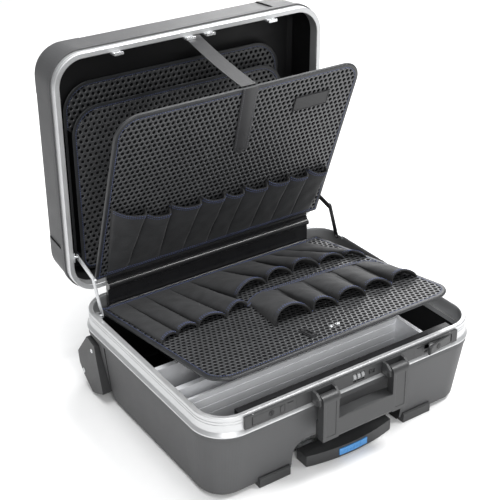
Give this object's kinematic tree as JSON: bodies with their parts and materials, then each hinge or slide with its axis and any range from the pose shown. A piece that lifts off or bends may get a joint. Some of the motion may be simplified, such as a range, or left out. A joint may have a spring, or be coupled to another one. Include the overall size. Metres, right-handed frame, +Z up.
{
  "type": "rolling tool case",
  "caption": "Wheeled hard tool case with an aluminium frame, hinged lid, fold-out tool boards, dividers, carrying handle and telescopic pull handle.",
  "frame": {"origin": "on the floor, under the middle of the aluminium base frame", "axes": "+X along the front from left to right, +Y from the front to the hinge, +Z up"},
  "size_m": [0.5062, 0.5317, 0.5534],
  "materials": {
    "shell_plastic": "satin grain",
    "frame_aluminium": "anodised",
    "divider_aluminium": "brushed",
    "tube_aluminium": "anodised",
    "dark_plastic": "satin",
    "black_plastic": "matt",
    "rubber": "matt",
    "button_blue": "semi-gloss",
    "steel": "brushed",
    "bright_screw": "polished",
    "board_fabric": "leathercloth",
    "pocket_fabric": "leathercloth",
    "webbing": "woven"
  },
  "bodies": {
    "base": {"base_shell": "shell_plastic", "base_frame": "frame_aluminium", "front_trim": "dark_plastic", "lock_plate_left": "dark_plastic", "lock_plate_right": "dark_plastic", "handle_plate": "dark_plastic", "latch_pins": "steel", "dial_axle": "steel", "handle_brackets": "dark_plastic", "handle_pins": "steel", "trolley_mount": "black_plastic", "trolley_outer_tubes": "tube_aluminium", "wheel_housing_left": "shell_plastic", "wheel_housing_right": "shell_plastic", "wheel_axles": "steel", "housing_screws": "bright_screw", "feet": "dark_plastic", "divider_front": "divider_aluminium", "divider_middle": "divider_aluminium", "divider_rear": "divider_aluminium", "divider_cross": "divider_aluminium", "hinge_base_leaf": "steel", "hinge_pin": "steel", "spine": "board_fabric", "stay_base_studs": "steel"},
    "lid": {"lid_shell": "shell_plastic", "lid_frame": "frame_aluminium", "lid_hasps": "steel", "document_pocket_rear": "pocket_fabric", "document_pocket_front": "pocket_fabric", "hinge_lid_leaf": "steel", "stay_lid_studs": "steel", "strap_link": "webbing"},
    "upper_panel": {"upper_board": "board_fabric", "upper_pockets": "pocket_fabric", "strap": "webbing"},
    "lower_panel": {"lower_board": "board_fabric", "lower_pockets_back": "pocket_fabric", "lower_pockets_front": "pocket_fabric", "pull_loop": "webbing", "loop_rivet": "steel"},
    "left_latch": {"latch_lever_left": "dark_plastic", "key_cylinder_left": "black_plastic"},
    "right_latch": {"latch_lever_right": "dark_plastic", "key_cylinder_right": "black_plastic"},
    "dial_1_body": {"dial_1": "bright_screw"},
    "dial_2_body": {"dial_2": "bright_screw"},
    "dial_3_body": {"dial_3": "bright_screw"},
    "slider": {"lock_slider": "black_plastic"},
    "handle": {"carry_handle": "dark_plastic"},
    "pull_middle": {"trolley_middle_tubes": "tube_aluminium"},
    "pull_inner": {"trolley_inner_tubes": "tube_aluminium", "trolley_grip": "dark_plastic"},
    "pull_button": {"trolley_button": "button_blue"},
    "left_wheel": {"wheel_left": "rubber"},
    "right_wheel": {"wheel_right": "rubber"},
    "left_stay_lower": {"stay_lower_left": "steel"},
    "right_stay_lower": {"stay_lower_right": "steel"},
    "left_stay_upper": {"stay_upper_left": "steel"},
    "right_stay_upper": {"stay_upper_right": "steel"}
  },
  "joints": [
    {"name": "lid_hinge", "type": "hinge", "parent": "base", "child": "lid", "pos_m": [0, 0.2095, 0.1399], "axis": [1, 0, 0], "range_deg": [0, 89], "deforming": ["strap_link"]},
    {"name": "upper_board_fold", "type": "hinge", "parent": "base", "child": "upper_panel", "pos_m": [0, 0.1885, 0.1842], "axis": [1, 0, 0], "range_deg": [0, 69.7]},
    {"name": "lower_board_fold", "type": "hinge", "parent": "base", "child": "lower_panel", "pos_m": [0, 0.1845, 0.1326], "axis": [1, 0, 0], "range_deg": [0, 7.9]},
    {"name": "stay_base_left", "type": "hinge", "parent": "base", "child": "left_stay_lower", "pos_m": [-0.2314, 0.142, 0.149], "axis": [1, 0, 0], "range_deg": [0, 130]},
    {"name": "stay_elbow_left", "type": "hinge", "parent": "left_stay_lower", "child": "left_stay_upper", "pos_m": [-0.2292, 0.163, 0.2], "axis": [1, 0, 0], "range_deg": [-127.5, 0]},
    {"name": "stay_base_right", "type": "hinge", "parent": "base", "child": "right_stay_lower", "pos_m": [0.2314, 0.142, 0.149], "axis": [1, 0, 0], "range_deg": [0, 130]},
    {"name": "stay_elbow_right", "type": "hinge", "parent": "right_stay_lower", "child": "right_stay_upper", "pos_m": [0.2292, 0.163, 0.2], "axis": [1, 0, 0], "range_deg": [-127.5, 0]},
    {"name": "pull_stage_1", "type": "slide", "parent": "base", "child": "pull_middle", "axis": [0, -1, 0], "range_m": [0, 0.24]},
    {"name": "pull_stage_2", "type": "slide", "parent": "pull_middle", "child": "pull_inner", "axis": [0, -1, 0], "range_m": [0, 0.24]},
    {"name": "pull_button_press", "type": "slide", "parent": "pull_inner", "child": "pull_button", "axis": [0, 1, 0], "range_m": [0, 0.004], "stiffness_N_per_m": 400},
    {"name": "carry_handle_swing", "type": "hinge", "parent": "base", "child": "handle", "pos_m": [0, -0.219, 0.1345], "axis": [-1, 0, 0], "range_deg": [0, 90]},
    {"name": "latch_left_swing", "type": "hinge", "parent": "base", "child": "left_latch", "pos_m": [-0.181, -0.203, 0.1369], "axis": [0, 0, -1], "range_deg": [0, 35]},
    {"name": "latch_right_swing", "type": "hinge", "parent": "base", "child": "right_latch", "pos_m": [0.181, -0.203, 0.1369], "axis": [0, 0, 1], "range_deg": [-12, 23]},
    {"name": "dial_1_turn", "type": "hinge", "parent": "base", "child": "dial_1_body", "pos_m": [-0.0045, -0.1995, 0.1369], "axis": [1, 0, 0], "continuous": true},
    {"name": "dial_2_turn", "type": "hinge", "parent": "base", "child": "dial_2_body", "pos_m": [0.003, -0.1995, 0.1369], "axis": [1, 0, 0], "continuous": true},
    {"name": "dial_3_turn", "type": "hinge", "parent": "base", "child": "dial_3_body", "pos_m": [0.0105, -0.1995, 0.1369], "axis": [1, 0, 0], "continuous": true},
    {"name": "lock_slide", "type": "slide", "parent": "base", "child": "slider", "axis": [1, 0, 0], "range_m": [0, 0.005]},
    {"name": "wheel_left_roll", "type": "hinge", "parent": "base", "child": "left_wheel", "pos_m": [-0.2335, 0.1833, 0.0313], "axis": [1, 0, 0], "continuous": true},
    {"name": "wheel_right_roll", "type": "hinge", "parent": "base", "child": "right_wheel", "pos_m": [0.2335, 0.1833, 0.0313], "axis": [1, 0, 0], "continuous": true}
  ],
  "couplings": [
    {"joint": "upper_board_fold", "follows": "lid_hinge", "ratio": 0.782},
    {"joint": "lower_board_fold", "follows": "lid_hinge", "ratio": 0.0876},
    {"joint": "pull_stage_2", "follows": "pull_stage_1", "ratio": 1},
    {"joint": "stay_base_left", "follows": "lid_hinge", "ratio": 1.456},
    {"joint": "stay_elbow_left", "follows": "lid_hinge", "ratio": -1.428},
    {"joint": "stay_base_right", "follows": "lid_hinge", "ratio": 1.456},
    {"joint": "stay_elbow_right", "follows": "lid_hinge", "ratio": -1.428}
  ]
}
